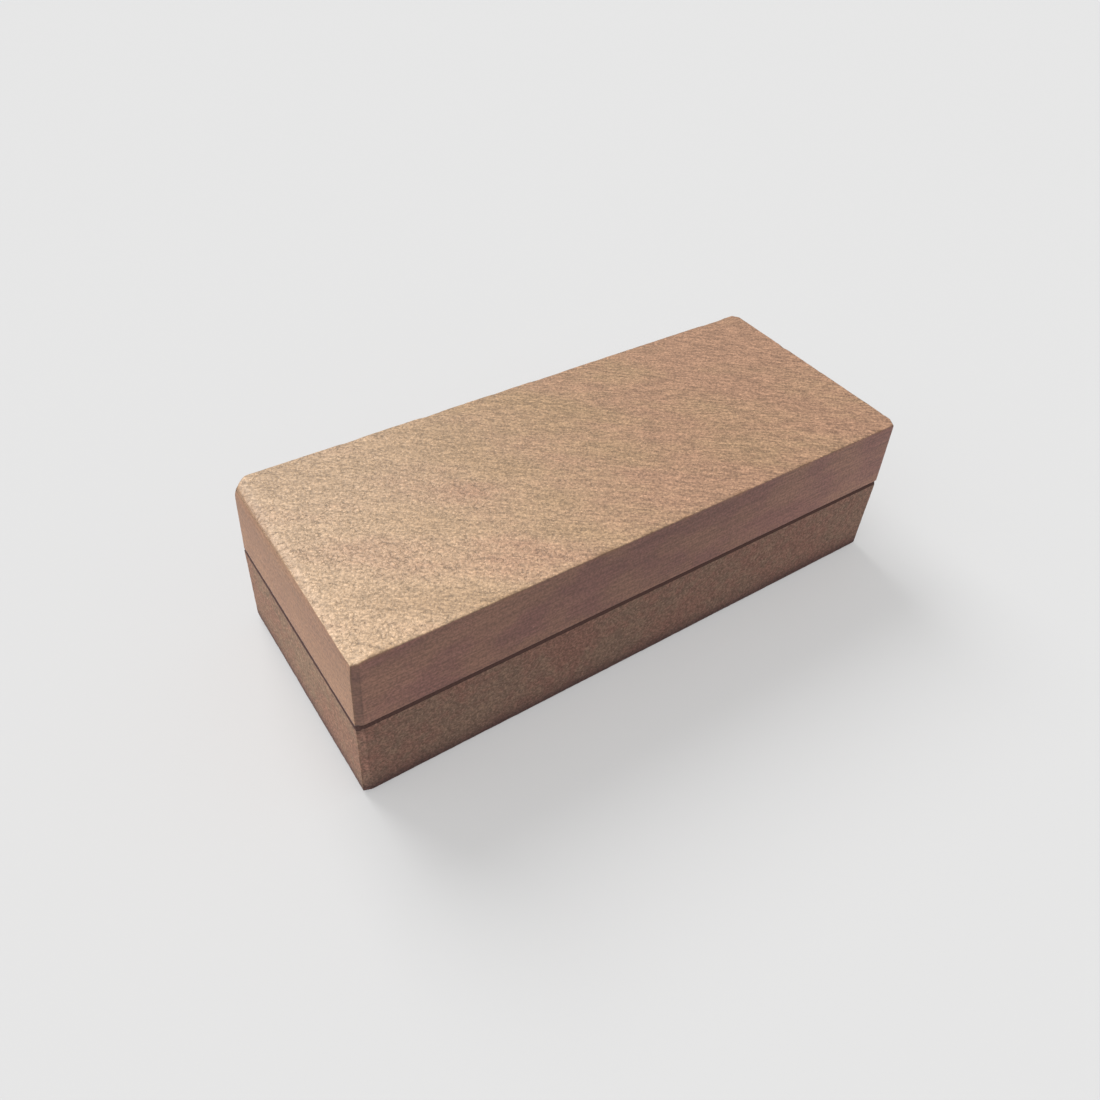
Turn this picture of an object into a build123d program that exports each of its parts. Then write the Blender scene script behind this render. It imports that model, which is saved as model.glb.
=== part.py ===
from build123d import *
import os

# A two-grit combination whetstone of pocket size, as a carver keeps for knives and gouges.
# It is made of two abrasive slabs, a finer one above and a coarser one below, held face to
# face by a thin layer of adhesive that stops short of the sides and leaves a narrow groove.
#
# Frame: millimetres, +Z up, +X along the long edges. The origin is the centre of the
# underside of the lower stone, on the surface that the whetstone stands on.

# ---- driving dimensions ----
LENGTH = 100.0            # upper stone, end to end
WIDTH = 41.0              # upper stone, side to side
UPPER_THICKNESS = 12.25   # finer stone
LOWER_THICKNESS = 14.8    # coarser stone
BOND_THICKNESS = 0.75     # adhesive layer, and the height of the groove round it

OVERHANG = 0.1            # how far the upper stone stands out past the top of the lower one
LOWER_DRAFT = 1.2         # degrees that every side of the lower stone leans in towards its foot
BOND_RECESS = 0.6         # depth of the groove, from the lower stone's sides to the adhesive

CORNER_CHAMFER = 1.2      # 45 degree facet ground on the four upright corners of each stone
TOP_ARRIS = 0.25          # easing round the honing face
SEAM_ARRIS = 0.15         # easing of the two edges that face each other across the groove
FOOT_ROUND = 0.9          # worn round along the foot of the lower stone

# ---- levels and outlines that follow from them ----
BOND_BOTTOM = LOWER_THICKNESS
UPPER_BOTTOM = BOND_BOTTOM + BOND_THICKNESS
LOWER_TOP_LENGTH = LENGTH - 2 * OVERHANG
LOWER_TOP_WIDTH = WIDTH - 2 * OVERHANG


def slab_outline(length, width, height):
    """The plan of a slab at one height: a rectangle with its four corners ground to facets."""
    outline = Rectangle(length, width)
    outline = chamfer(outline.vertices(), CORNER_CHAMFER)
    return Pos(0, 0, height) * outline


def rim_edges(solid, height):
    """The closed ring of edges that lies flat at one height."""
    return solid.edges().filter_by_position(Axis.Z, height, height)


def make_upper_stone():
    """Finer slab with upright sides, eased round its honing face and along the groove."""
    stone = extrude(slab_outline(LENGTH, WIDTH, UPPER_BOTTOM), UPPER_THICKNESS)
    stone = fillet(rim_edges(stone, UPPER_BOTTOM + UPPER_THICKNESS), TOP_ARRIS)
    return fillet(rim_edges(stone, UPPER_BOTTOM), SEAM_ARRIS)


def make_bond_layer():
    """Sheet of adhesive that touches both stones and stops short of their sides."""
    length = LOWER_TOP_LENGTH - 2 * BOND_RECESS
    width = LOWER_TOP_WIDTH - 2 * BOND_RECESS
    return extrude(slab_outline(length, width, BOND_BOTTOM), BOND_THICKNESS)


def make_lower_stone():
    """Coarser slab whose sides lean in towards a rounded foot, as it leaves its mould."""
    top = slab_outline(LOWER_TOP_LENGTH, LOWER_TOP_WIDTH, LOWER_THICKNESS)
    stone = extrude(top, LOWER_THICKNESS, dir=(0, 0, -1), taper=LOWER_DRAFT)
    stone = fillet(rim_edges(stone, 0), FOOT_ROUND)
    return fillet(rim_edges(stone, LOWER_THICKNESS), SEAM_ARRIS)


pieces = {
    "upper_stone": make_upper_stone(),
    "bond_layer": make_bond_layer(),
    "lower_stone": make_lower_stone(),
}

os.makedirs("parts", exist_ok=True)
for name, piece in pieces.items():
    piece.label = name
    export_step(piece, f"parts/{name}.step")
    box = piece.bounding_box()
    print(f"{name}: {box.size.X:.2f} x {box.size.Y:.2f} x {box.size.Z:.2f} mm, {piece.volume:.1f} mm3")
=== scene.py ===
"""Looks of a two-grit combination whetstone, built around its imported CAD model.

The stone is two abrasive slabs held together by a thin layer of adhesive. Each slab is made here
as one dense closed surface: a grid over its open face, and a strip carried round its sides. The
surface is then worn, chipped and roughened by smooth random fields, always into the slab, so that
it stays inside the CAD part's box. Lengths are in metres, and +Z is up.
"""

import itertools
import logging
import math
from dataclasses import dataclass, field
from enum import Enum

import bpy
import numpy as np
from mathutils import Matrix, Vector


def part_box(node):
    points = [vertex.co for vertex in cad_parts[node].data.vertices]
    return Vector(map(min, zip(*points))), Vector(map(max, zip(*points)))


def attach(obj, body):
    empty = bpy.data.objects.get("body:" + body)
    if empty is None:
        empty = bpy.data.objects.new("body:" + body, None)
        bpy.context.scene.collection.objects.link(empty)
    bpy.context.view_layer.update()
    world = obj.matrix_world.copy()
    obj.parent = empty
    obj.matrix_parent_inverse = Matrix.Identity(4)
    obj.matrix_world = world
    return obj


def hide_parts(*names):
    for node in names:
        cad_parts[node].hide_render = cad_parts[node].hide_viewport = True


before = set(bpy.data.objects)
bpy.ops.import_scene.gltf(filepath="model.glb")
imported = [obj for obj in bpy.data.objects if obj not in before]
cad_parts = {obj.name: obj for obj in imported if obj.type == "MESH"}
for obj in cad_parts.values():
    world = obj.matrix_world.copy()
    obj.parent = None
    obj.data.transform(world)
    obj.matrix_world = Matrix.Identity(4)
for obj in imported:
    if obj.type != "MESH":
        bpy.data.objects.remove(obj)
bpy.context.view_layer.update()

MM = 0.001
LOG = logging.getLogger("whetstone")

# The way that the knocked corner's points have gone: down, and in along both sides.
KNOCK_DIRECTION = np.array([0.35, 0.20, -0.92])

Socket = bpy.types.NodeSocket
Colour = tuple[float, float, float]
Cells = tuple[float, float, float]


# ---------------------------------------------------------------------------------------------
# Random fields that wear and roughen the stone
# ---------------------------------------------------------------------------------------------
def lattice_random(corner: np.ndarray, seed: int) -> np.ndarray:
    """Gives every whole-numbered lattice corner its own steady random number.

    The three whole numbers are each multiplied by a large odd constant and mixed by shifts and
    products, and the top bits of the result are read as a fraction.

    Args:
        corner: whole-number places, one row each.
        seed: picks one of many independent sets of numbers.

    Returns:
        One number from 0 to 1 for each row.
    """
    mixed = np.full(len(corner), seed * 0x9E3779B97F4A7C15 % 2**64, np.uint64)
    for column, factor in zip(corner.T, (0x8DA6B343D8163841, 0xD8163841CB1AB31F, 0xCB1AB31F165667B1)):
        mixed ^= column.astype(np.uint64) * np.uint64(factor)
        mixed ^= mixed >> np.uint64(29)
        mixed *= np.uint64(0xBF58476D1CE4E5B9)
    mixed ^= mixed >> np.uint64(32)
    return (mixed >> np.uint64(11)).astype(float) / 2.0**53


def smooth_noise(points: np.ndarray, cell: float, seed: int) -> np.ndarray:
    """Smooth random field with lumps about one cell across.

    Random numbers stand at the corners of a lattice of cubes, and a point takes the blend of its
    cube's eight corners, weighted along each axis by 3t^2 - 2t^3.

    Args:
        points: places, one row each.
        cell: edge of a lattice cube, or three edges for lumps drawn out along an axis.
        seed: picks the set of random numbers.

    Returns:
        One number from 0 to 1 for each point.
    """
    place = points / np.asarray(cell)
    corner = np.floor(place).astype(np.int64)
    part = place - corner
    blend = part * part * (3.0 - 2.0 * part)
    total = np.zeros(len(points))
    for step in itertools.product((0, 1), repeat=3):
        weight = np.prod(np.where(step, blend, 1.0 - blend), axis=1)
        total += weight * lattice_random(corner + np.array(step), seed)
    return total


def layered_noise(points: np.ndarray, cell: float, seed: int, layers: int = 3) -> np.ndarray:
    """Sum of smooth fields, each half as coarse and half as strong as the one before.

    Args:
        points: places, one row each.
        cell: lump size of the coarsest field.
        seed: picks the random numbers of the first field.
        layers: how many fields are added.

    Returns:
        One number from 0 to 1 for each point.
    """
    shares = 0.5 ** np.arange(layers)
    total = sum(
        share * smooth_noise(points, cell * share, seed + layer) for layer, share in enumerate(shares)
    )
    return total / shares.sum()


def ramp(value: np.ndarray, low: float, high: float) -> np.ndarray:
    """Rises smoothly from 0 at low to 1 at high, by 3t^2 - 2t^3."""
    t = np.clip((value - low) / (high - low), 0.0, 1.0)
    return t * t * (3.0 - 2.0 * t)


# ---------------------------------------------------------------------------------------------
# Slab surfaces
# ---------------------------------------------------------------------------------------------
class OpenFace(Enum):
    """Which of a slab's two broad faces is open, and so gets the dense grid."""

    TOP = 1
    UNDERSIDE = -1


@dataclass(frozen=True)
class Facet:
    """How far one upright corner's facet reaches from the corner along X and along Y."""

    along_x: float
    along_y: float


@dataclass(frozen=True)
class FourFacets:
    """The facets of a slab's four upright corners, which were ground by hand and differ.

    Left is the -X end and right the +X end. Front is the -Y side and back the +Y side.
    """

    left_front: Facet = Facet(1.1 * MM, 0.4 * MM)
    left_back: Facet = Facet(2.1 * MM, 1.1 * MM)
    right_front: Facet = Facet(0.8 * MM, 0.7 * MM)
    right_back: Facet = Facet(1.0 * MM, 1.1 * MM)

    def at(self, x: np.ndarray, y: np.ndarray) -> np.ndarray:
        """Reaches of the facet in each point's quarter of the slab.

        Args:
            x: places along the length, measured from the slab's middle.
            y: places across the width, measured from the slab's middle.

        Returns:
            The reach along X and the reach along Y, one row for each point.
        """
        left = (self.left_front, self.left_back)
        right = (self.right_front, self.right_back)
        reaches = np.array([[(one.along_x, one.along_y) for one in side] for side in (left, right)])
        return reaches[(x > 0).astype(int), (y > 0).astype(int)]


@dataclass
class Surface:
    """A closed mesh being worked out as arrays, before it goes into Blender."""

    points: np.ndarray
    quads: np.ndarray
    cap: np.ndarray
    masks: dict[str, np.ndarray] = field(default_factory=dict)

    def normals(self) -> np.ndarray:
        """Outward direction at each point: the summed cross products of its quads' diagonals."""
        corners = self.points[self.quads]
        cross = np.cross(corners[:, 2] - corners[:, 0], corners[:, 3] - corners[:, 1])
        total = np.zeros_like(self.points)
        for turn in range(4):
            np.add.at(total, self.quads[:, turn], cross)
        length = np.linalg.norm(total, axis=1, keepdims=True)
        return total / np.maximum(length, 1e-20)

    def to_object(self, name: str) -> bpy.types.Object:
        """Puts the arrays into a new smooth-shaded Blender object that sits at the origin.

        Args:
            name: the piece's name.

        Returns:
            The new object, with each mask stored as a number at every point.
        """
        mesh = bpy.data.meshes.new(name)
        faces = self.quads.tolist() + [self.cap.tolist()]
        mesh.from_pydata(self.points.tolist(), [], faces)
        for mask_name, values in self.masks.items():
            layer = mesh.attributes.new(mask_name, "FLOAT", "POINT")
            layer.data.foreach_set("value", values.astype(np.float32))
        mesh.polygons.foreach_set("use_smooth", np.ones(len(faces), bool))
        mesh.polygons[len(faces) - 1].use_smooth = False
        mesh.validate()
        mesh.update()
        piece = bpy.data.objects.new(name, mesh)
        bpy.context.scene.collection.objects.link(piece)
        return piece


@dataclass(frozen=True)
class Bands:
    """How wide the bands of a slab are that its wear and its finish treat apart.

    Attributes:
        rim: the band along the open face's rim.
        face_end: least depth at which the open face's finish has given way to the sides'.
        facet_edge: how far in from a facet's plane its finish has ended.
        facet_full: how far in from that plane it is still at full strength.
        end_turn: how much nearer to an end than to a long side the end's finish is full.
        left_start: how far from the -X end the groove's wider painted shade begins.
        left_full: the further way over which that painted shade reaches its full width.
        left_seam: by what share of its usual width the painted shade is wider there.
        shade_start: how far from the seam the groove's painted shade begins, in seam rounds.
        shade_full: how far from the seam that painted shade is at full strength, in seam rounds.
        knock: reach of the knocked corner down from the arris.
        knock_across: its reach across the slab, as a share of the width.
        rub: reach of the rubbed edge down from the arris.
    """

    rim: float = 0.45 * MM
    face_end: float = 0.20 * MM
    facet_edge: float = 0.06 * MM
    facet_full: float = 0.01 * MM
    end_turn: float = 0.40 * MM
    left_start: float = 1.0 * MM
    left_full: float = 0.8 * MM
    left_seam: float = 1.2
    shade_start: float = 1.2
    shade_full: float = 0.2
    knock: float = 1.5 * MM
    knock_across: float = 0.05
    rub: float = 1.0 * MM


@dataclass
class Slab:
    """A rectangular slab with faceted upright corners and rounded rims.

    The sizes are read from the CAD node's box, and the small ones that a box doesn't hold are
    given here as the CAD part has them.

    Attributes:
        low: lowest corner of the node's box.
        high: highest corner of the node's box.
        open_face: the broad face that can be seen or stands on the floor.
        corner_facet: the even facet that the grid is laid out for.
        facets: the facets that the corners end up with.
        open_round: round along the open face's rim.
        seam_round: round along the groove.
        draft: lean of the sides, in radians.
        seam_margin: width of the flat border of the hidden face.
        facet_round: rounding of the facets' own edges.
        fade_depth: how far in from the outline the facets are felt in the grid.
        pull_reach: how far from a corner its own facet is felt, in even facets.
        facet_steps: grid lines across a facet.
        face_step: spacing of the grid lines between the facets.
        wall_step: spacing of the rings down the sides.
        bands: widths that the masks are worked out with.
    """

    low: Vector
    high: Vector
    open_face: OpenFace
    corner_facet: float = 1.2 * MM
    facets: FourFacets = FourFacets()
    open_round: float = 0.25 * MM
    seam_round: float = 0.15 * MM
    draft: float = 0.0
    seam_margin: float = 2.5 * MM
    facet_round: float = 0.08 * MM
    fade_depth: float = 6.0 * MM
    pull_reach: float = 7.0
    facet_steps: int = 4
    face_step: float = 0.30 * MM
    wall_step: float = 0.35 * MM
    bands: Bands = Bands()

    @property
    def half(self) -> np.ndarray:
        """Half the length and half the width of the slab's largest outline."""
        return np.array([(self.high.x - self.low.x) / 2, (self.high.y - self.low.y) / 2])

    @property
    def height(self) -> float:
        """Thickness of the slab."""
        return self.high.z - self.low.z

    def plan(self, s: np.ndarray, t: np.ndarray, inset: np.ndarray) -> np.ndarray:
        """Places grid coordinates in the slab's plan.

        A point first lands in a rectangle drawn in by the inset. The ring that it stands on is
        the rectangle through it, and the corner of that ring is cut by an even 45 degree facet:
        within the facet's reach of the corner, the point moves in along both axes by half of what
        is left of the reach. A square root eases the start of that, which rounds the facet's ends.
        The corner is then stretched along each axis, so that the facet gets its own two reaches.

        Args:
            s: place along the length, -1 to 1.
            t: place across the width, -1 to 1.
            inset: how far the outline is drawn in.

        Returns:
            Plan coordinates, one row each.
        """
        half = np.column_stack([self.half[0] - inset, self.half[1] - inset])
        place = np.column_stack([s, t]) * half
        away = half - np.abs(place)
        depth = away.min(axis=1)
        reach = (away - depth[:, None]).sum(axis=1)
        fade = 1.0 - ramp(depth, 0.0, self.fade_depth)
        left = self.corner_facet * fade - reach
        soft = self.facet_round * fade
        away = away + 0.25 * (left + np.sqrt(left * left + soft * soft))[:, None]

        wanted = self.facets.at(s, t)
        near = away / self.corner_facet
        pull = np.minimum(near, 1.0) * (1.0 - ramp(near, 1.0, self.pull_reach))
        hold = 1.0 - ramp(away[:, ::-1], 0.0, self.pull_reach * self.corner_facet)
        away = away + (wanted - self.corner_facet) * pull * hold
        return np.sign(place) * (half - away)

    def grid_lines(self, half: float) -> np.ndarray:
        """Places of the grid lines along one side, as shares of its half.

        A few lines cross each facet, a line stands close on each side of the facet's end, where
        the surface turns, and the lines between the facets are evenly spaced.

        Args:
            half: half of the side's length.

        Returns:
            Rising numbers from -1 to 1.
        """
        turn = self.corner_facet
        ease = 1.2 * self.facet_round
        outer = np.linspace(0.0, turn - ease, self.facet_steps + 1)
        count = int(round(2 * (half - turn) / self.face_step))
        inner = np.linspace(turn + ease, 2 * half - turn - ease, count + 1)
        lines = np.concatenate([outer, [turn], inner, [2 * half - turn], 2 * half - outer[::-1]])
        return lines / half - 1.0

    def wall_profile(self) -> tuple[np.ndarray, np.ndarray]:
        """Inset and distance below the open face of each ring, from the open face to the seam.

        It is a quarter round at the open face's rim, a straight wall that leans by the draft, a
        small quarter round at the seam, and a flat border that the cap closes.

        Returns:
            The insets and the distances, one for each ring.
        """
        lean = math.tan(self.draft)
        turn = np.linspace(0, math.pi / 2, 7)
        rim_in = self.open_round * (1 - np.sin(turn))
        rim_down = self.open_round * (1 - np.cos(turn))
        straight = self.height - self.open_round - self.seam_round
        rows = int(round(straight / self.wall_step))
        wall_down = self.open_round + straight * np.linspace(0, 1, rows + 1)[1:-1]
        turn = np.linspace(0, math.pi / 2, 4)
        seam_in = self.seam_round * (1 - np.cos(turn))
        seam_down = self.height - self.seam_round * (1 - np.sin(turn))
        inset = np.concatenate([rim_in, np.zeros(rows - 1), seam_in, [self.seam_margin]])
        down = np.concatenate([rim_down, wall_down, seam_down, [self.height]])
        return inset + lean * (self.height - down), down

    def surface(self) -> Surface:
        """Works out the slab's closed surface, with the masks that its finish reads.

        The open face is a grid in s and t. Its border, followed once round, is the first ring of
        the strip, and the strip's later rings repeat that border at the profile's insets.

        Returns:
            The surface before wear, with its points in the row frame.
        """
        s, t = np.meshgrid(self.grid_lines(self.half[0]), self.grid_lines(self.half[1]), indexing="ij")
        number = np.arange(s.size).reshape(s.shape)
        border = np.concatenate([number[:-1, 0], number[-1, :-1], number[:0:-1, -1], number[0, :0:-1]])

        inset, down = self.wall_profile()
        s, t = s.ravel(), t.ravel()
        ring_s, ring_t = s[border], t[border]
        plans = [self.plan(s, t, np.full(s.size, inset[0]))]
        plans += [self.plan(ring_s, ring_t, np.full(border.size, one)) for one in inset[1:]]
        depth = np.concatenate([np.zeros(s.size), np.repeat(down[1:], border.size)])
        up = self.open_face.value
        level = (self.high.z if up > 0 else self.low.z) - up * depth
        centre = (self.low + self.high) / 2
        points = np.column_stack([np.vstack(plans) + [centre.x, centre.y], level])

        face = np.stack([number[:-1, :-1], number[1:, :-1], number[1:, 1:], number[:-1, 1:]], -1)
        later = s.size + np.arange(border.size * (len(inset) - 1)).reshape(-1, border.size)
        rings = np.vstack([border, later])
        after = np.roll(rings, -1, axis=1)
        strip = np.stack([rings[:-1], rings[1:], after[1:], after[:-1]], -1)
        quads = np.vstack([face.reshape(-1, 4), strip.reshape(-1, 4)])
        cap = rings[-1][::-1]
        if up < 0:
            quads, cap = quads[:, ::-1], cap[::-1]
        made = Surface(points, quads, cap)
        made.masks = self.masks(points, depth)
        return made

    def masks(self, points: np.ndarray, depth: np.ndarray) -> dict[str, np.ndarray]:
        """Numbers at each point that say which part of the slab it is on.

        Args:
            points: the surface's points.
            depth: how far each point is from the open face's plane.

        Returns:
            face: 1 on the open face and 0 on the sides. rim: 1 along the open face's rim. facet:
                1 on the corner facets, which are painted darker as shade. end: 1 on the two end faces,
                which are given a tone painted in for the light on the lit -X end. seam: 1 inside the
                groove between the slabs, and a little beyond it at the -X end, where the groove's
                shade is painted.
            corner: nearness to the knocked corner. rubbed: nearness to the rubbed edge at the -X end,
                stronger towards +Y.
        """
        bands = self.bands
        centre = (self.low + self.high) / 2
        offset = points[:, :2] - [centre.x, centre.y]
        away = self.half - np.abs(offset)
        reach = self.facets.at(offset[:, 0], offset[:, 1])
        outside = 1.0 - (away / reach).sum(axis=1)
        facet_depth = -outside / np.linalg.norm(1.0 / reach, axis=1)
        edge = np.minimum(away.min(axis=1), facet_depth)
        rim = np.exp(-(np.hypot(np.maximum(edge, 0), depth) / bands.rim) ** 2)
        face = 1.0 - ramp(depth, 0.0, max(self.open_round, bands.face_end))
        facet = ramp(-facet_depth, -bands.facet_edge, -bands.facet_full) * (1 - face)
        end = ramp(away[:, 1] - away[:, 0], 0.0, bands.end_turn)

        # The seam mask marks where the groove's shade is painted, wider near the -X end.
        left = ramp(self.low.x + bands.left_start - points[:, 0], 0.0, bands.left_full)
        spread = self.seam_round * (1.0 + bands.left_seam * left)
        seam_start = self.height - bands.shade_start * spread
        seam = ramp(depth, seam_start, self.height - bands.shade_full * spread)

        beside = np.hypot(points[:, 0] - self.low.x, points[:, 2] - self.high.z)
        across = (points[:, 1] - self.low.y) / (self.high.y - self.low.y)
        corner = np.exp(-(beside / bands.knock) ** 2 - (across / bands.knock_across) ** 2)
        rubbed = np.exp(-(beside / bands.rub) ** 2) * ramp(across, -0.1, 0.9)
        return {
            "face": face, "rim": rim, "facet": facet, "end": end, "seam": seam, "corner": corner,
            "rubbed": rubbed,
        }


@dataclass(frozen=True)
class Wear:
    """How a slab's surface is worn and roughened; every depth is taken into the slab.

    Attributes:
        ripple: depth of the slow rise and fall of the faces.
        grain: depth of the fine roughness.
        grain_cell: size of a lump of the fine roughness.
        chip: depth of the deepest chips along the rim.
        chip_cell: spacing of the chips.
        seed: picks the random fields.
        corner: how far the knocked corner has gone down.
        rub: how far the rubbed edge has gone down.
        ripple_cell: spacing of the slow rise and fall.
        chip_start: height of the chip field above which a chip begins.
        nick_start: the same for the small nicks between the chips.
        full: height of either field at which a chip or nick is at its deepest.
    """

    ripple: float
    grain: float
    grain_cell: float
    chip: float
    chip_cell: float
    seed: int
    corner: float = 0.0
    rub: float = 0.0
    ripple_cell: float = 14.0 * MM
    chip_start: float = 0.62
    nick_start: float = 0.70
    full: float = 0.95

    def apply(self, surface: Surface) -> None:
        """Moves the points of a surface inwards, against their outward direction.

        The depth at a point is the sum of a slow field, a fine field, the chips, which are the
        peaks of a field and show along the rim only, and the rubbed edge, which falls off as a
        bell curve. Rubbing takes most of the chips away. The knocked corner falls off as a bell
        curve too, and goes down and in along one direction, so that it can't fold.

        Args:
            surface: the surface to wear; its points are changed.
        """
        places = surface.points
        slow = layered_noise(places, self.ripple_cell, self.seed, 2)
        fine = layered_noise(places, self.grain_cell, self.seed + 10, 2)
        chip_field = smooth_noise(places, self.chip_cell, self.seed + 20)
        nick_field = smooth_noise(places, self.chip_cell / 3, self.seed + 30)
        peaks = ramp(chip_field, self.chip_start, self.full)
        nicks = ramp(nick_field, self.nick_start, self.full)
        rim = surface.masks["rim"] * (1.0 - 0.8 * surface.masks["rubbed"])
        depth = self.ripple * slow + self.grain * fine
        depth += self.chip * rim * (peaks + 0.5 * nicks + 0.25 * fine)
        depth += self.rub * surface.masks["rubbed"]
        knock = self.corner * surface.masks["corner"][:, None] * KNOCK_DIRECTION
        surface.masks["chipped"] = np.clip(rim * (peaks + 0.6 * nicks), 0, 1)
        surface.points = places - surface.normals() * depth[:, None] + knock


# ---------------------------------------------------------------------------------------------
# Finishes
# ---------------------------------------------------------------------------------------------
@dataclass(frozen=True)
class Pattern:
    """A smooth random pattern on a piece.

    Attributes:
        cells: how many of its lumps fit in a metre along each turned axis.
        detail: how many finer layers are laid over it.
        rough: how strong those layers are.
        turn: angle about Z that its coordinates are turned by, in radians.
        shift: how far it is moved, in lumps, so that two patterns differ.
    """

    cells: Cells
    detail: float = 2.0
    rough: float = 0.6
    turn: float = 0.0
    shift: Cells = (0.0, 0.0, 0.0)


class Bench:
    """Lays out the nodes of one material, and gives each common step a short call."""

    noise_low: float = 0.3
    noise_high: float = 0.7

    def __init__(self, name: str) -> None:
        """Starts a material with one shader, wired to its output.

        Args:
            name: the material's name.
        """
        self.material = bpy.data.materials.new(name)
        self.material.use_nodes = True
        self.tree = self.material.node_tree
        self.tree.nodes.clear()
        self.shader = self.tree.nodes.new("ShaderNodeBsdfPrincipled")
        output = self.tree.nodes.new("ShaderNodeOutputMaterial")
        self.tree.links.new(self.shader.outputs["BSDF"], output.inputs["Surface"])
        self.place = self.tree.nodes.new("ShaderNodeTexCoord").outputs["Object"]

    def feed(self, socket: Socket, value: object) -> None:
        """Links a socket to another node's output, or sets it to a plain value."""
        if isinstance(value, bpy.types.NodeSocket):
            self.tree.links.new(value, socket)
        elif isinstance(value, tuple) and len(value) == 3 and socket.type == "RGBA":
            socket.default_value = (*value, 1.0)
        else:
            socket.default_value = value

    def mask(self, name: str) -> Socket:
        """A number stored at the piece's points."""
        node = self.tree.nodes.new("ShaderNodeAttribute")
        node.attribute_name = name
        return node.outputs["Fac"]

    def calc(self, operation: str, *values: object) -> Socket:
        """One step of arithmetic on numbers or outputs."""
        node = self.tree.nodes.new("ShaderNodeMath")
        node.operation = operation
        for socket, value in zip(node.inputs, values):
            self.feed(socket, value)
        return node.outputs[0]

    def stretch(self, cells: Cells, turn: float = 0.0, shift: Cells = (0.0, 0.0, 0.0)) -> Socket:
        """Object coordinates turned about Z, then scaled along each axis.

        Args:
            cells: how many pattern cells fit in a metre along each turned axis.
            turn: angle about Z, in radians.
            shift: moves the pattern, in cells.

        Returns:
            The coordinates for a pattern.
        """
        rotated = self.tree.nodes.new("ShaderNodeVectorRotate")
        rotated.rotation_type = "Z_AXIS"
        self.feed(rotated.inputs["Vector"], self.place)
        self.feed(rotated.inputs["Angle"], turn)
        node = self.tree.nodes.new("ShaderNodeMapping")
        self.feed(node.inputs["Vector"], rotated.outputs["Vector"])
        node.inputs["Scale"].default_value = cells
        node.inputs["Location"].default_value = shift
        return node.outputs["Vector"]

    def lumps(self, pattern: Pattern) -> Socket:
        """Lays out a smooth random pattern.

        Args:
            pattern: its sizes.

        Returns:
            A number from 0 to 1, mostly between noise_low and noise_high.
        """
        node = self.tree.nodes.new("ShaderNodeTexNoise")
        self.feed(node.inputs["Vector"], self.stretch(pattern.cells, pattern.turn, pattern.shift))
        node.inputs["Scale"].default_value = 1.0
        node.inputs["Detail"].default_value = pattern.detail
        node.inputs["Roughness"].default_value = pattern.rough
        return node.outputs["Fac"]

    def cells(self, where: Socket, feature: str, output: str) -> Socket:
        """Pattern of irregular cells, one for each unit of its coordinates."""
        node = self.tree.nodes.new("ShaderNodeTexVoronoi")
        node.feature = feature
        self.feed(node.inputs["Vector"], where)
        node.inputs["Scale"].default_value = 1.0
        return node.outputs[output]

    def wander(self, where: Socket, amount: float, density: float) -> Socket:
        """Bends a pattern's coordinates, so that its cells lose their straight sides.

        Args:
            where: the pattern's coordinates.
            amount: how far they are bent, in cells.
            density: how many bends there are to a cell.

        Returns:
            The bent coordinates.
        """
        node = self.tree.nodes.new("ShaderNodeTexNoise")
        self.feed(node.inputs["Vector"], where)
        node.inputs["Scale"].default_value = density
        node.inputs["Detail"].default_value = 1.0
        shift = self.tree.nodes.new("ShaderNodeVectorMath")
        shift.operation = "MULTIPLY_ADD"
        self.feed(shift.inputs[0], node.outputs["Color"])
        shift.inputs[1].default_value = (amount,) * 3
        self.feed(shift.inputs[2], where)
        return shift.outputs["Vector"]

    def span(
        self, value: object, low: float, high: float, to_low: float = 0.0, to_high: float = 1.0
    ) -> Socket:
        """Maps a range of numbers smoothly onto another, and holds it beyond its ends.

        Args:
            value: the number to map.
            low: where the range begins.
            high: where it ends.
            to_low: what low becomes.
            to_high: what high becomes.

        Returns:
            The mapped number.
        """
        node = self.tree.nodes.new("ShaderNodeMapRange")
        node.interpolation_type = "SMOOTHSTEP"
        for socket, number in zip(node.inputs, (value, low, high, to_low, to_high)):
            self.feed(socket, number)
        return node.outputs["Result"]

    def vary(self, pattern: Socket, to_low: float, to_high: float) -> Socket:
        """Maps the usual range of a random pattern onto a range of numbers."""
        return self.span(pattern, self.noise_low, self.noise_high, to_low, to_high)

    def blend(self, factor: object, first: object, second: object, way: str = "MIX") -> Socket:
        """Blends two colours or numbers.

        Args:
            factor: how much of the second is taken, from 0 to 1.
            first: the first colour.
            second: the second colour.
            way: Blender's name for the way of blending.

        Returns:
            The blend.
        """
        node = self.tree.nodes.new("ShaderNodeMix")
        node.data_type = "RGBA"
        node.blend_type = way
        node.clamp_factor = True
        self.feed(node.inputs[0], factor)
        self.feed(node.inputs[6], first)
        self.feed(node.inputs[7], second)
        return node.outputs[2]

    def brighten(self, colour: object, amount: object) -> Socket:
        """Multiplies a colour by a number."""
        node = self.tree.nodes.new("ShaderNodeVectorMath")
        node.operation = "SCALE"
        self.feed(node.inputs[0], colour)
        self.feed(node.inputs["Scale"], amount)
        return node.outputs["Vector"]

    def along(self, axis: str) -> Socket:
        """Object coordinate along X, Y or Z."""
        node = self.tree.nodes.new("ShaderNodeSeparateXYZ")
        self.feed(node.inputs[0], self.place)
        return node.outputs[axis]

    def paint_seam_shade(self, colour: Socket, seam_shade: Colour) -> Socket:
        """Paints the groove's shade into the colour inside the groove between the slabs, up to a
        ragged edge.

        Args:
            colour: the stone's colour.
            seam_shade: colour of the painted shade.

        Returns:
            The colour with the painted shade.
        """
        raggedness = self.lumps(Pattern((900, 900, 900)))
        shade_reach = self.calc("ADD", self.mask("seam"), raggedness)
        return self.blend(self.span(shade_reach, 0.75, 0.95), colour, seam_shade)

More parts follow.
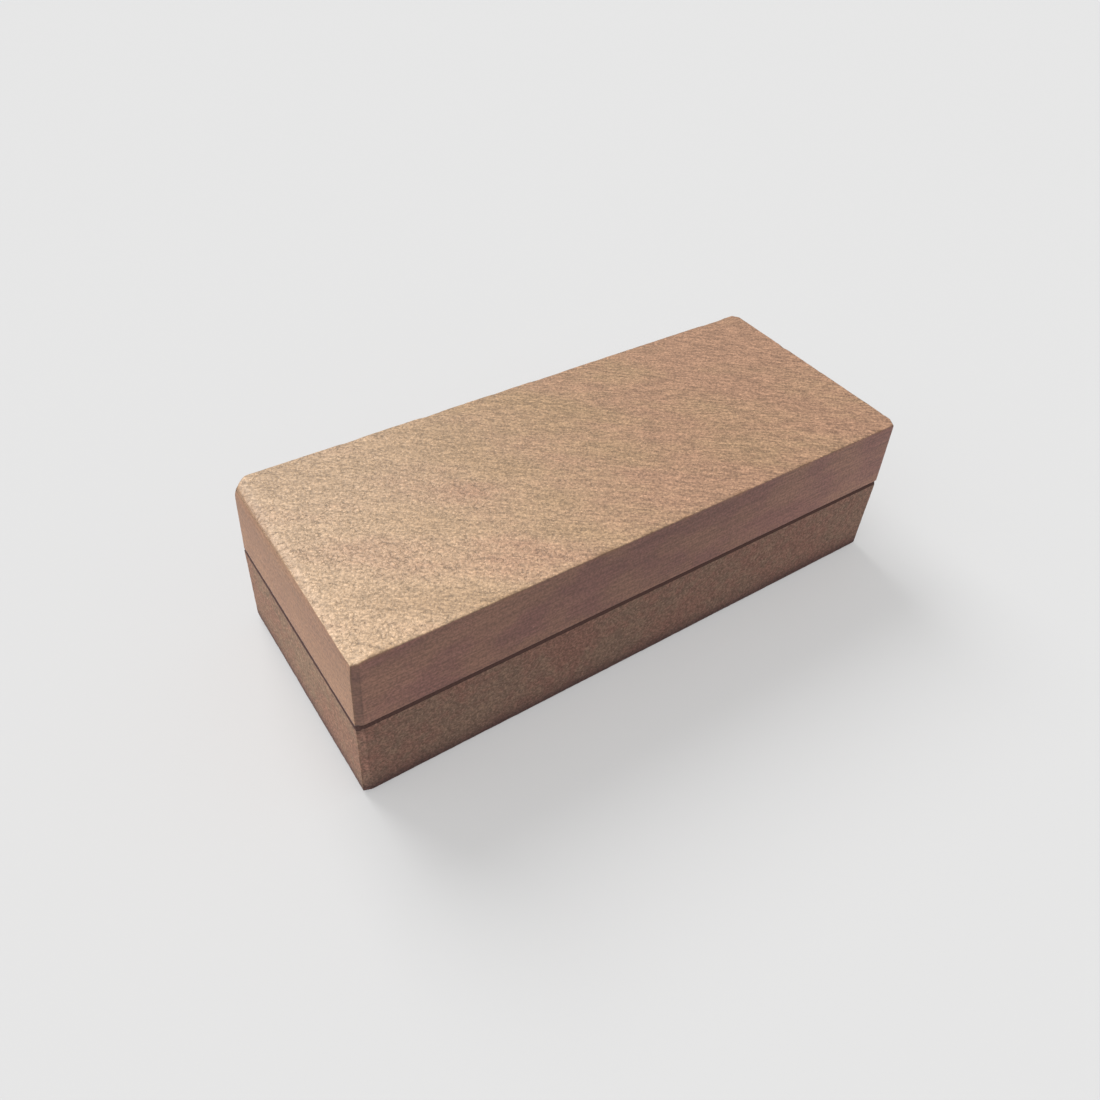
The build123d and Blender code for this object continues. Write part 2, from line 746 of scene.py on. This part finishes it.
    def bump(self, height: object, depth: float, under: object = None) -> Socket:
        """Tilts the surface by a height pattern from 0 to 1 that stands for the depth in metres."""
        node = self.tree.nodes.new("ShaderNodeBump")
        node.inputs["Strength"].default_value = 1.0
        node.inputs["Distance"].default_value = depth
        self.feed(node.inputs["Height"], height)
        if under is not None:
            self.feed(node.inputs["Normal"], under)
        return node.outputs["Normal"]


# The honing face was lapped along a direction this far round from +X towards -Y. A pattern whose
# coordinates are turned by as much the other way runs along it.
LAP = math.radians(38)


@dataclass(frozen=True)
class FineStone:
    """Finish of the finer slab: a satin honing face with fine mottled grain, and lapped sides.

    Attributes:
        seam_level: height of the slab's underside above the floor.
        top_level: height of its honing face.
        tan: the honing face at its +X end.
        cream: the honing face at its -X end, partly its own tone and partly a painted sheen.
        blush: redder patches of the honing face.
        side: the long sides.
        mauve: cooler patches of the sides.
        end: the two ends, with a yellower tan than the long sides that is painted in for the light on
            the lit -X end; also the colour of chips and rubbed spots.
        seam_shade: colour of the painted shade inside the groove.
        face_rough: roughness of the honing face.
        side_rough: roughness of the sides.
        face_relief: depth of the honing face's fine relief.
        side_relief: depth of the sides' fine relief.
        grain: grains of the honing face.
        stroke: short strokes along the lapping direction.
        lump: paler lumps that take the strokes' place near the -X end.
        speck: bright specks, partly the grains' own pale flecks and partly painted glints.
        scratch: long faint scratches.
        tint: fine change between tan and red.
        patch: broad change between tan and red.
        clump: where the cracks between the pebbles show.
        pebble_cells: how many pebbles fit in a metre.
        cloud: broad change of the sides' colour.
        line: lapping lines along the sides.
        dust: fine grains of the sides.
        dot_cells: how many pale dots fit in a metre of the sides.
    """

    seam_level: float
    top_level: float
    tan: Colour = (0.264, 0.168, 0.095)
    cream: Colour = (0.374, 0.256, 0.160)
    blush: Colour = (0.262, 0.144, 0.092)
    side: Colour = (0.262, 0.130, 0.087)
    mauve: Colour = (0.226, 0.102, 0.080)
    end: Colour = (0.214, 0.119, 0.065)
    seam_shade: Colour = (0.048, 0.019, 0.014)
    face_rough: float = 0.44
    side_rough: float = 0.58
    face_relief: float = 0.10 * MM
    side_relief: float = 0.05 * MM
    grain: Pattern = Pattern((2100, 2300, 2300))
    stroke: Pattern = Pattern((520, 2900, 2900), turn=LAP)
    lump: Pattern = Pattern((950, 1150, 1150), rough=0.55, turn=LAP, shift=(6, 2, 0))
    speck: Pattern = Pattern((3900, 4100, 4100), detail=1.0, rough=0.5, turn=0.3, shift=(7, 3, 0))
    scratch: Pattern = Pattern((60, 3600, 3600), detail=1.0, rough=0.5, turn=0.35, shift=(2, 5, 0))
    tint: Pattern = Pattern((620, 900, 900), turn=LAP, shift=(4, 4, 0))
    patch: Pattern = Pattern((45, 120, 120), rough=0.5, turn=LAP, shift=(1, 8, 0))
    clump: Pattern = Pattern((800, 800, 800), detail=1.0, rough=0.5)
    pebble_cells: Cells = (1100, 1100, 1100)
    cloud: Pattern = Pattern((110, 110, 160), detail=3.0, rough=0.55)
    line: Pattern = Pattern((160, 160, 3000))
    dust: Pattern = Pattern((2400, 2400, 2400))
    dot_cells: Cells = (260, 260, 260)

    def face_colour(self, bench: Bench, pale: Socket, patch: Socket) -> Socket:
        """Colour of the honing face before its grain: cream to tan, with redder patches. The cream -X
        end is partly the stone's own tone and partly a painted sheen.

        Args:
            bench: the material being laid out.
            pale: how near a point is to the pale -X end.
            patch: the broad random pattern.

        Returns:
            The colour.
        """
        colour = bench.blend(pale, self.tan, self.cream)
        tint = bench.calc("MULTIPLY", bench.lumps(self.tint), 0.35)
        redness = bench.calc("MULTIPLY_ADD", patch, 1.5, tint)
        redness = bench.calc("MULTIPLY_ADD", bench.along("X"), 6.0, redness)
        return bench.blend(bench.span(redness, 0.60, 1.30, 0.0, 0.8), colour, self.blush)

    def cracks(self, bench: Bench, pale: Socket) -> Socket:
        """Faint cracks that outline pebbles near the -X end.

        Args:
            bench: the material being laid out.
            pale: how near a point is to the pale -X end.

        Returns:
            How dark the crack is at a point.
        """
        place = bench.wander(bench.stretch(self.pebble_cells), 0.9, 1.6)
        edge = bench.cells(place, "DISTANCE_TO_EDGE", "Distance")
        clump = bench.lumps(self.clump)
        shown = bench.calc("MULTIPLY", bench.span(clump, 0.42, 0.60, 0.08, 0.32), pale)
        return bench.calc("MULTIPLY", bench.span(edge, 0.0, 0.16, 1.0, 0.0), shown)

    def honing_face(self, bench: Bench) -> tuple[Socket, Socket]:
        """Colour and height of the honing face.

        Grains about 0.4 mm across are lit up and shaded by noise, drawn out into short strokes
        along the lapping direction. Towards the -X end the strokes give way to paler lumps, and
        faint cracks outline pebbles 0.9 mm across. That end is paler, partly in the stone's own
        tone and partly as a painted sheen, painted brightest towards the front. Bright specks are
        partly the grains' own flecks and partly painted glints.

        Args:
            bench: the material being laid out.

        Returns:
            The colour and the height, from 0 to 1.
        """
        grain = bench.lumps(self.grain)
        stroke = bench.lumps(self.stroke)
        patch = bench.lumps(self.patch)
        # Paler towards the -X end: partly the stone's own tone, partly a painted sheen.
        paleness = bench.calc("MULTIPLY_ADD", bench.along("X"), -9.0, patch)
        pale = bench.span(paleness, 0.24, 1.14)
        colour = self.face_colour(bench, pale, patch)
        crack = self.cracks(bench, pale)

        strokes = bench.vary(stroke, 0.72, 1.27)
        lumps = bench.span(bench.lumps(self.lump), 0.34, 0.64, 0.88, 1.14)
        strokes = bench.blend(bench.calc("MULTIPLY", pale, 0.6), strokes, lumps)
        light = bench.calc("MULTIPLY", bench.vary(grain, 0.74, 1.28), strokes)
        # Painted sheen: near the -X end the face is painted brighter towards the front and a little
        # darker towards the back.
        sheen = bench.span(bench.along("Y"), -20 * MM, 20 * MM, 0.13, -0.04)
        light = bench.calc("MULTIPLY_ADD", bench.calc("MULTIPLY", pale, sheen), light, light)
        # Bright specks: partly the grains' own flecks, partly painted glints.
        specks = bench.span(bench.lumps(self.speck), 0.57, 0.72, 0.0, 0.52)
        light = bench.calc("ADD", light, specks)
        scratches = bench.span(bench.lumps(self.scratch), 0.66, 0.74, 0.0, 0.12)
        light = bench.calc("ADD", light, scratches)
        light = bench.calc("SUBTRACT", light, crack)

        height = bench.calc("MULTIPLY_ADD", grain, 0.5, bench.calc("MULTIPLY", stroke, 0.5))
        height = bench.calc("SUBTRACT", height, crack)
        return bench.brighten(colour, light), height

    def lapped_side(self, bench: Bench) -> tuple[Socket, Socket]:
        """Colour and height of the sides, with fine lapping lines along their length.

        The long sides are darkest a little to the left of the middle, and paler towards the
        groove than towards the honing face.

        Args:
            bench: the material being laid out.

        Returns:
            The colour and the height, from 0 to 1.
        """
        line = bench.lumps(self.line)
        dust = bench.lumps(self.dust)
        colour = bench.blend(bench.span(bench.lumps(self.cloud), 0.36, 0.64), self.side, self.mauve)
        # Painted light: the ends get a yellower tan than the long sides, for the light on the lit -X
        # end.
        colour = bench.blend(bench.calc("MULTIPLY", bench.mask("end"), 0.75), colour, self.end)

        light = bench.calc("MULTIPLY", bench.vary(line, 0.85, 1.15), bench.vary(dust, 0.76, 1.24))
        along = bench.along("X")
        light = bench.calc("MULTIPLY", light, bench.span(along, 0.0, 48 * MM, 0.88, 1.14))
        light = bench.calc("MULTIPLY", light, bench.span(along, -50 * MM, -20 * MM, 1.16, 1.0))
        rise = bench.span(bench.along("Z"), self.seam_level, self.top_level, 1.08, 0.93)
        light = bench.calc("MULTIPLY", light, rise)
        # Painted shade: the corner facets are painted darker.
        shade = bench.span(bench.mask("facet"), 0.0, 1.0, 1.0, 0.62)
        light = bench.calc("MULTIPLY", light, shade)
        dot = bench.cells(bench.stretch(self.dot_cells), "F1", "Distance")
        light = bench.calc("ADD", light, bench.span(dot, 0.030, 0.045, 0.5, 0.0))

        height = bench.calc("MULTIPLY_ADD", line, 0.4, bench.calc("MULTIPLY", dust, 0.6))
        return bench.brighten(colour, light), height

    def material(self) -> bpy.types.Material:
        """Builds the material.

        Returns:
            The finished material.
        """
        bench = Bench("fine_stone")
        face = bench.mask("face")
        face_colour, face_height = self.honing_face(bench)
        side_colour, side_height = self.lapped_side(bench)
        colour = bench.blend(face, side_colour, face_colour)
        worn = bench.calc("MAXIMUM", bench.mask("chipped"), bench.mask("rubbed"))
        colour = bench.blend(bench.calc("MULTIPLY", worn, 0.75), colour, self.end)
        # Painted shade inside the groove between the slabs.
        bench.feed(bench.shader.inputs["Base Color"], bench.paint_seam_shade(colour, self.seam_shade))

        rough = bench.vary(face_height, self.face_rough + 0.08, self.face_rough - 0.06)
        above = bench.calc("SUBTRACT", rough, self.side_rough)
        rough = bench.calc("MULTIPLY_ADD", face, above, self.side_rough)
        bench.feed(bench.shader.inputs["Roughness"], rough)
        normal = bench.bump(bench.calc("MULTIPLY", face_height, face), self.face_relief)
        normal = bench.bump(side_height, self.side_relief, normal)
        bench.feed(bench.shader.inputs["Normal"], normal)
        return bench.material


@dataclass(frozen=True)
class CoarseStone:
    """Finish of the coarser slab: open sandy grain in olive and red-brown, with painted shade
    darkening the foot.

    Attributes:
        olive: the greener grains.
        russet: the redder grains.
        foot: colour of the painted shade along the foot.
        end_tint: what the two ends' colour is multiplied by, a tone painted in for the light on the
            lit -X end.
        seam_shade: colour of the painted shade inside the groove.
        roughness: roughness of the whole slab.
        pit_relief: depth of the pits between the grains.
        sand_relief: depth of the grains' own relief.
        band_high: height above the floor at which the dark band of painted shade ends.
        haze_high: height above the floor at which the last of the painted shade ends.
        grain_cells: how many grains fit in a metre.
        sand: light and dark of the grains.
        mottle: fine change between olive and russet.
        cloud: broad change between them.
    """

    olive: Colour = (0.200, 0.120, 0.082)
    russet: Colour = (0.212, 0.104, 0.074)
    foot: Colour = (0.078, 0.033, 0.028)
    end_tint: Colour = (0.83, 0.85, 0.76)
    seam_shade: Colour = (0.048, 0.019, 0.014)
    roughness: float = 0.85
    pit_relief: float = 0.06 * MM
    sand_relief: float = 0.09 * MM
    band_high: float = 2.0 * MM
    haze_high: float = 5.0 * MM
    grain_cells: Cells = (2900, 2900, 2900)
    sand: Pattern = Pattern((2600, 2600, 2600), detail=3.0, rough=0.7)
    mottle: Pattern = Pattern((620, 620, 620), detail=3.0)
    cloud: Pattern = Pattern((90, 90, 90), rough=0.5)

    def foot_shade(self, bench: Bench, cloud: Socket) -> Socket:
        """How much painted shade a point gets near the foot: a dark band along the foot, and a haze of
        it that fades out above it.

        Args:
            bench: the material being laid out.
            cloud: the broad random pattern, which moves the band up and down.

        Returns:
            A number from 0 to 1.
        """
        level = bench.calc("MULTIPLY_ADD", cloud, -1.2 * MM, bench.along("Z"))
        band = bench.span(level, 0.2 * MM, self.band_high, 0.95, 0.0)
        haze = bench.span(level, 0.0, self.haze_high, 0.5, 0.0)
        return bench.calc("MULTIPLY_ADD", haze, bench.calc("SUBTRACT", 1.0, band), band)

    def material(self) -> bpy.types.Material:
        """Builds the material.

        Returns:
            The finished material.
        """
        bench = Bench("coarse_stone")
        place = bench.wander(bench.stretch(self.grain_cells), 0.6, 1.0)
        grain = bench.cells(place, "F1", "Color")
        pit = bench.cells(place, "F1", "Distance")
        sand = bench.lumps(self.sand)
        cloud = bench.lumps(self.cloud)

        tint = bench.calc("MULTIPLY", cloud, 0.5)
        tint = bench.calc("MULTIPLY_ADD", bench.lumps(self.mottle), 0.5, tint)
        colour = bench.blend(bench.span(tint, 0.38, 0.62), self.olive, self.russet)
        # Painted shade: a dark band along the foot, where the stone meets the floor, fading out above
        # it.
        colour = bench.blend(self.foot_shade(bench, cloud), colour, self.foot)
        # Painted light: the ends' colour is tinted for the light on the lit -X end.
        colour = bench.blend(bench.mask("end"), colour, self.end_tint, "MULTIPLY")

        light = bench.span(grain, 0.1, 0.9, 0.84, 1.28)
        light = bench.calc("MULTIPLY", light, bench.vary(sand, 0.68, 1.38))
        # Painted shade: the corner facets are painted darker.
        shade = bench.span(bench.mask("facet"), 0.0, 1.0, 1.0, 0.68)
        light = bench.calc("MULTIPLY", light, shade)
        light = bench.calc("MULTIPLY", light, bench.span(bench.along("X"), 0.0, 48 * MM, 0.97, 1.10))
        # Painted shade inside the groove between the slabs.
        colour = bench.paint_seam_shade(bench.brighten(colour, light), self.seam_shade)
        bench.feed(bench.shader.inputs["Base Color"], colour)
        bench.shader.inputs["Roughness"].default_value = self.roughness
        normal = bench.bump(pit, self.pit_relief)
        normal = bench.bump(sand, self.sand_relief, normal)
        bench.feed(bench.shader.inputs["Normal"], normal)
        return bench.material


@dataclass(frozen=True)
class Adhesive:
    """Finish of the adhesive layer: dark brown, with paler dust caught on it.

    Attributes:
        dark: the adhesive.
        dusty: the dust.
        relief: depth of the adhesive's unevenness.
        dust: where the dust lies.
    """

    dark: Colour = (0.055, 0.024, 0.018)
    dusty: Colour = (0.13, 0.085, 0.07)
    relief: float = 0.1 * MM
    dust: Pattern = Pattern((500, 500, 900), detail=3.0, rough=0.65)

    def material(self) -> bpy.types.Material:
        """Builds the material.

        Returns:
            The finished material.
        """
        bench = Bench("bond")
        dust = bench.lumps(self.dust)
        colour = bench.blend(bench.span(dust, 0.5, 0.75, 0.0, 0.8), self.dark, self.dusty)
        bench.feed(bench.shader.inputs["Base Color"], colour)
        bench.feed(bench.shader.inputs["Roughness"], bench.span(dust, 0.4, 0.7, 0.5, 0.85))
        bench.feed(bench.shader.inputs["Normal"], bench.bump(dust, self.relief))
        return bench.material


@dataclass(frozen=True)
class PlainPaint:
    """Finish of the floor: one pale colour, as the floor isn't part of the object."""

    colour: Colour = (0.485, 0.485, 0.485)

    def material(self) -> bpy.types.Material:
        """Builds the material.

        Returns:
            The finished material.
        """
        bench = Bench("floor_paint")
        bench.feed(bench.shader.inputs["Base Color"], self.colour)
        bench.shader.inputs["Roughness"].default_value = 1.0
        bench.shader.inputs["Specular IOR Level"].default_value = 0.0
        return bench.material


# ---------------------------------------------------------------------------------------------
# The object's pieces
# ---------------------------------------------------------------------------------------------
@dataclass
class StonePiece:
    """One piece of the stone: its shape, its wear and its finish.

    Attributes:
        node: the CAD node that it stands for.
        slot: the name of its material slot; not used.
        slab: its shape.
        wear: how that shape is worn.
        finish: its material.
    """

    node: str
    slot: str
    slab: Slab
    wear: Wear
    finish: FineStone | CoarseStone | Adhesive

    def build(self) -> bpy.types.Object:
        """Makes the worn piece in place of its CAD node.

        Returns:
            The finished piece.
        """
        surface = self.slab.surface()
        self.wear.apply(surface)
        piece = surface.to_object(f"{self.node}_worn")
        piece.data.materials.append(self.finish.material())
        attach(piece, "root")
        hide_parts(self.node)
        return piece


@dataclass
class Whetstone:
    """The whole stone: finer slab, adhesive layer and coarser slab.

    Attributes:
        foot_round: round along the foot of the coarser slab, as in the CAD part.
        foot_draft: lean of its sides, in radians, as in the CAD part.
        bond_round: round along the rims of the adhesive layer.
        bond_face_step: spacing of the grid lines on the adhesive layer.
        bond_wall_step: spacing of the rings down its sides.
    """

    foot_round: float = 0.9 * MM
    foot_draft: float = math.radians(1.2)
    bond_round: float = 0.05 * MM
    bond_face_step: float = 0.8 * MM
    bond_wall_step: float = 0.1 * MM

    def upper(self) -> StonePiece:
        """The finer slab, with its honing face up."""
        low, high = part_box("upper_stone")
        wear = Wear(
            ripple=0.05 * MM, grain=0.03 * MM, grain_cell=0.9 * MM, chip=0.14 * MM,
            chip_cell=3.5 * MM, seed=11, corner=0.50 * MM, rub=0.45 * MM,
        )
        facets = FourFacets(left_back=Facet(2.3 * MM, 1.8 * MM), right_front=Facet(0.9 * MM, 1.6 * MM))
        finish = FineStone(seam_level=low.z, top_level=high.z)
        slab = Slab(low, high, OpenFace.TOP, facets=facets)
        return StonePiece("upper_stone", "fine_stone", slab, wear, finish)

    def lower(self) -> StonePiece:
        """The coarser slab, whose open face is the one it stands on."""
        low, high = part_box("lower_stone")
        slab = Slab(low, high, OpenFace.UNDERSIDE, open_round=self.foot_round, draft=self.foot_draft)
        wear = Wear(
            ripple=0.04 * MM, grain=0.06 * MM, grain_cell=0.7 * MM, chip=0.2 * MM,
            chip_cell=3.0 * MM, seed=47,
        )
        return StonePiece("lower_stone", "coarse_stone", slab, wear, CoarseStone())

    def bond(self) -> StonePiece:
        """The adhesive layer, whose wear is all set to nothing."""
        low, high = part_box("bond_layer")
        slab = Slab(
            low, high, OpenFace.TOP, open_round=self.bond_round, seam_round=self.bond_round,
            face_step=self.bond_face_step, wall_step=self.bond_wall_step,
        )
        wear = Wear(ripple=0.0, grain=0.0, grain_cell=1.0 * MM, chip=0.0, chip_cell=3.0 * MM, seed=83)
        return StonePiece("bond_layer", "bond", slab, wear, Adhesive())

    def build(self) -> list[bpy.types.Object]:
        """Makes every piece, and reports each.

        Returns:
            The finished pieces.
        """
        made = []
        for part in (self.upper(), self.bond(), self.lower()):
            piece = part.build()
            made.append(piece)
            mesh = piece.data
            LOG.info("%s: %d points, %d faces", piece.name, len(mesh.vertices), len(mesh.polygons))
        return made


# ---------------------------------------------------------------------------------------------
# Stage
# ---------------------------------------------------------------------------------------------
def direction(azimuth: float, elevation: float) -> Vector:
    """Unit arrow that points up from the floor.

    Args:
        azimuth: its heading, in degrees from +X towards +Y.
        elevation: its angle above the floor, in degrees.

    Returns:
        The arrow.
    """
    flat, rise = math.radians(azimuth), math.radians(elevation)
    return Vector((math.cos(flat) * math.cos(rise), math.sin(flat) * math.cos(rise), math.sin(rise)))


@dataclass(frozen=True)
class Sun:
    """A soft lamp far away.

    Attributes:
        name: the lamp's name.
        azimuth: where the light comes from, in degrees from +X towards +Y.
        elevation: its height above the floor, in degrees.
        strength: its brightness.
        spread: its apparent size, in degrees, which softens its shadow.
        shadow: whether it casts one.
    """

    name: str
    azimuth: float
    elevation: float
    strength: float
    spread: float
    shadow: bool = True

    def build(self) -> bpy.types.Object:
        """Makes the lamp.

        Returns:
            The lamp.
        """
        data = bpy.data.lights.new(self.name, "SUN")
        data.energy = self.strength
        data.angle = math.radians(self.spread)
        data.use_shadow = self.shadow
        lamp = bpy.data.objects.new(self.name, data)
        bpy.context.scene.collection.objects.link(lamp)
        towards = direction(self.azimuth, self.elevation)
        lamp.rotation_mode = "QUATERNION"
        lamp.rotation_quaternion = towards.to_track_quat("Z", "Y")
        return lamp


@dataclass(frozen=True)
class Stage:
    """A plain pale floor and soft light.

    Attributes:
        floor_half: half of the floor's side.
        ambient: colour of the light from all round.
        ambient_strength: its brightness.
        key: the main lamp, which lights the honing face and the -X end.
        back: the lamp behind the stone.
    """

    floor_half: float = 6.0
    ambient: Colour = (1.0, 1.0, 1.0)
    ambient_strength: float = 0.40
    key: Sun = Sun("key_lamp", 172.0, 42.0, 4.0, 60.0, shadow=False)
    back: Sun = Sun("back_lamp", 96.0, 46.0, 1.7, 35.0)

    def floor(self) -> bpy.types.Object:
        """Makes the floor, a flat square under the stone.

        Returns:
            The floor.
        """
        mesh = bpy.data.meshes.new("floor")
        turns = ((-1, -1), (1, -1), (1, 1), (-1, 1))
        corners = [(x * self.floor_half, y * self.floor_half, 0.0) for x, y in turns]
        mesh.from_pydata(corners, [], [(0, 1, 2, 3)])
        piece = bpy.data.objects.new("floor", mesh)
        bpy.context.scene.collection.objects.link(piece)
        mesh.materials.append(PlainPaint().material())
        return piece

    def build(self) -> None:
        """Sets up the floor, the lamps, the ambient light and the colour handling."""
        self.floor()
        self.key.build()
        self.back.build()
        world = bpy.data.worlds.new("studio")
        world.use_nodes = True
        background = world.node_tree.nodes["Background"]
        background.inputs["Color"].default_value = (*self.ambient, 1.0)
        background.inputs["Strength"].default_value = self.ambient_strength
        scene = bpy.context.scene
        scene.world = world
        scene.view_settings.view_transform = "Standard"
        scene.view_settings.look = "None"


@dataclass(frozen=True)
class Viewpoint:
    """Where the camera stands and how it is held.

    Attributes:
        place: its position.
        azimuth: the side that it stands on, in degrees from -Y towards +X.
        elevation: how steeply it looks down, in degrees.
        roll: how far it is tipped to the side, in degrees.
        lens: focal length, in millimetres.
        sensor: width of the sensor, in millimetres.
        shift: sideways and upward shift of the lens, in widths of the picture.
        clip: nearest and farthest distance that is drawn.
    """

    place: tuple[float, float, float] = (-79.36 * MM, -98.66 * MM, 125.68 * MM)
    azimuth: float = -37.944
    elevation: float = 37.789
    roll: float = 4.917
    lens: float = 33.264
    sensor: float = 36.0
    shift: tuple[float, float] = (-0.0227, -0.0909)
    clip: tuple[float, float] = (0.005, 50.0)

    def build(self) -> bpy.types.Object:
        """Makes the camera and sets it as the scene's own.

        Returns:
            The camera.
        """
        data = bpy.data.cameras.new("camera")
        data.lens = self.lens
        data.sensor_width = self.sensor
        data.shift_x, data.shift_y = self.shift
        data.clip_start, data.clip_end = self.clip
        camera = bpy.data.objects.new("camera", data)
        bpy.context.scene.collection.objects.link(camera)
        back = direction(self.azimuth - 90.0, self.elevation)
        level = back.to_track_quat("Z", "Y").to_matrix()
        tipped = level @ Matrix.Rotation(math.radians(self.roll), 3, "Z")
        camera.matrix_world = Matrix.Translation(self.place) @ tipped.to_4x4()
        bpy.context.scene.camera = camera
        return camera


def main() -> None:
    """Builds the whetstone, its stage and its camera."""
    logging.basicConfig(level=logging.INFO, format="%(name)s: %(message)s")
    pieces = Whetstone().build()
    Stage().build()
    Viewpoint().build()
    LOG.info("%d pieces", len(pieces))


if __name__ == "__main__":
    main()
